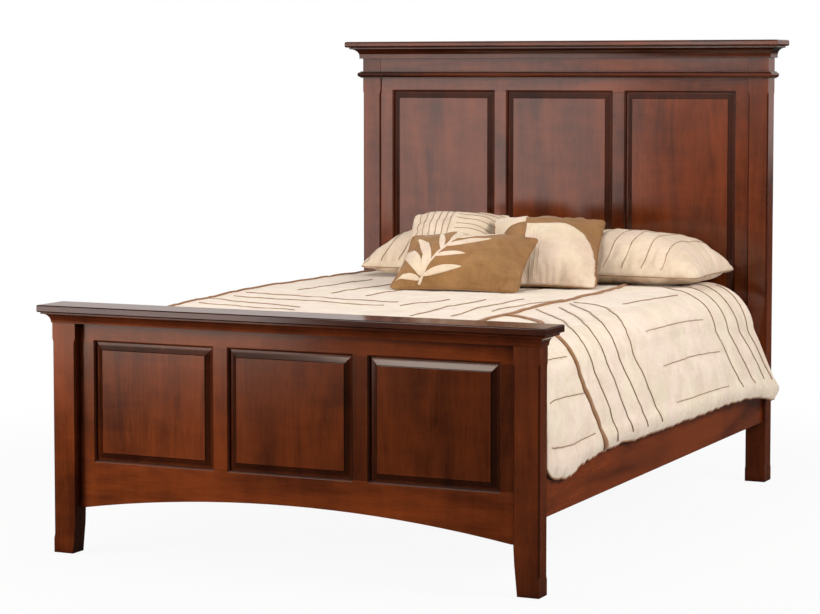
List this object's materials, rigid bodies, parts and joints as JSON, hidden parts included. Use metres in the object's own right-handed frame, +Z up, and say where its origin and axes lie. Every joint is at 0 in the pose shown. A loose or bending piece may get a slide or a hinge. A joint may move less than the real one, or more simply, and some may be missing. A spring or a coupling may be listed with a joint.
{
  "type": "panel bed with bedding",
  "caption": "Dark wood panel bed with a tall crowned headboard, an arched footboard with a wide cap, side rails on hooks, a quilted comforter and a heap of pillows.",
  "frame": {"origin": "on the floor, under the middle of the bed's overall box", "axes": "+Z up, +Y from the footboard to the headboard, +X to the right for someone who stands at the foot and looks at the headboard"},
  "size_m": [1.71, 2.296, 1.595],
  "materials": {
    "stained_hardwood": "dark red-brown stained hardwood with a satin lacquer",
    "pale_hardwood": "unfinished pale hardwood",
    "dark_steel": "dark coated steel",
    "zinc_screws": "zinc plated steel",
    "glide_plastic": "moulded dark plastic",
    "foundation_cover": "woven cover",
    "mattress_cover": "quilted knit cover",
    "comforter_cream": "cream brushed fabric with thin brown stitching",
    "pillow_cream": "cream brushed fabric",
    "cushion_brown": "brown suede-like fabric with cream applied pieces"
  },
  "bodies": {
    "bed": {"foot_post_left": "stained_hardwood", "foot_post_right": "stained_hardwood", "foot_cap": "stained_hardwood", "foot_cap_moulding": "stained_hardwood", "foot_top_rail": "stained_hardwood", "foot_arched_rail": "stained_hardwood", "foot_stile_left": "stained_hardwood", "foot_stile_right": "stained_hardwood", "foot_mullion_left": "stained_hardwood", "foot_mullion_right": "stained_hardwood", "foot_panel_left": "stained_hardwood", "foot_panel_middle": "stained_hardwood", "foot_panel_right": "stained_hardwood", "head_post_left": "stained_hardwood", "head_post_right": "stained_hardwood", "head_crown": "stained_hardwood", "head_crown_moulding": "stained_hardwood", "head_frieze": "stained_hardwood", "head_bead_moulding": "stained_hardwood", "head_top_rail": "stained_hardwood", "head_bottom_rail": "stained_hardwood", "head_stretcher": "stained_hardwood", "head_stile_left": "stained_hardwood", "head_stile_right": "stained_hardwood", "head_mullion_left": "stained_hardwood", "head_mullion_right": "stained_hardwood", "head_panel_left": "stained_hardwood", "head_panel_middle": "stained_hardwood", "head_panel_right": "stained_hardwood", "side_rail_left": "stained_hardwood", "side_rail_right": "stained_hardwood", "cleat_left": "pale_hardwood", "cleat_right": "pale_hardwood", "slats": "pale_hardwood", "slat_screws": "zinc_screws", "cleat_screws": "zinc_screws", "rail_hook_plates": "dark_steel", "rail_plate_screws": "zinc_screws", "post_slot_plates": "dark_steel", "post_plate_screws": "zinc_screws", "centre_beam": "pale_hardwood", "beam_brackets": "dark_steel", "bracket_screws": "zinc_screws", "centre_leg": "pale_hardwood", "leg_bolt": "zinc_screws", "leg_glide": "dark_steel", "post_glides": "glide_plastic", "foundation": "foundation_cover", "mattress": "mattress_cover", "comforter": "comforter_cream"},
    "pillow_right": {"pillow_right": "pillow_cream"},
    "pillow_left": {"pillow_left": "pillow_cream"},
    "sham": {"sham": "pillow_cream"},
    "square_cushion": {"square_cushion": "cushion_brown"},
    "lumbar_cushion": {"lumbar_cushion": "cushion_brown"}
  },
  "joints": [
    {"name": "pillow_right_lift", "type": "slide", "parent": "bed", "child": "pillow_right", "axis": [0, 0, 1], "range_m": [0, 0.3]},
    {"name": "pillow_left_lift", "type": "slide", "parent": "pillow_right", "child": "pillow_left", "axis": [0, 0, 1], "range_m": [0, 0.3]},
    {"name": "sham_lift", "type": "slide", "parent": "pillow_left", "child": "sham", "axis": [0, 0, 1], "range_m": [0, 0.3]},
    {"name": "square_cushion_lift", "type": "slide", "parent": "sham", "child": "square_cushion", "axis": [0, 0, 1], "range_m": [0, 0.3]},
    {"name": "lumbar_cushion_lift", "type": "slide", "parent": "square_cushion", "child": "lumbar_cushion", "axis": [0, 0, 1], "range_m": [0, 0.3]}
  ]
}
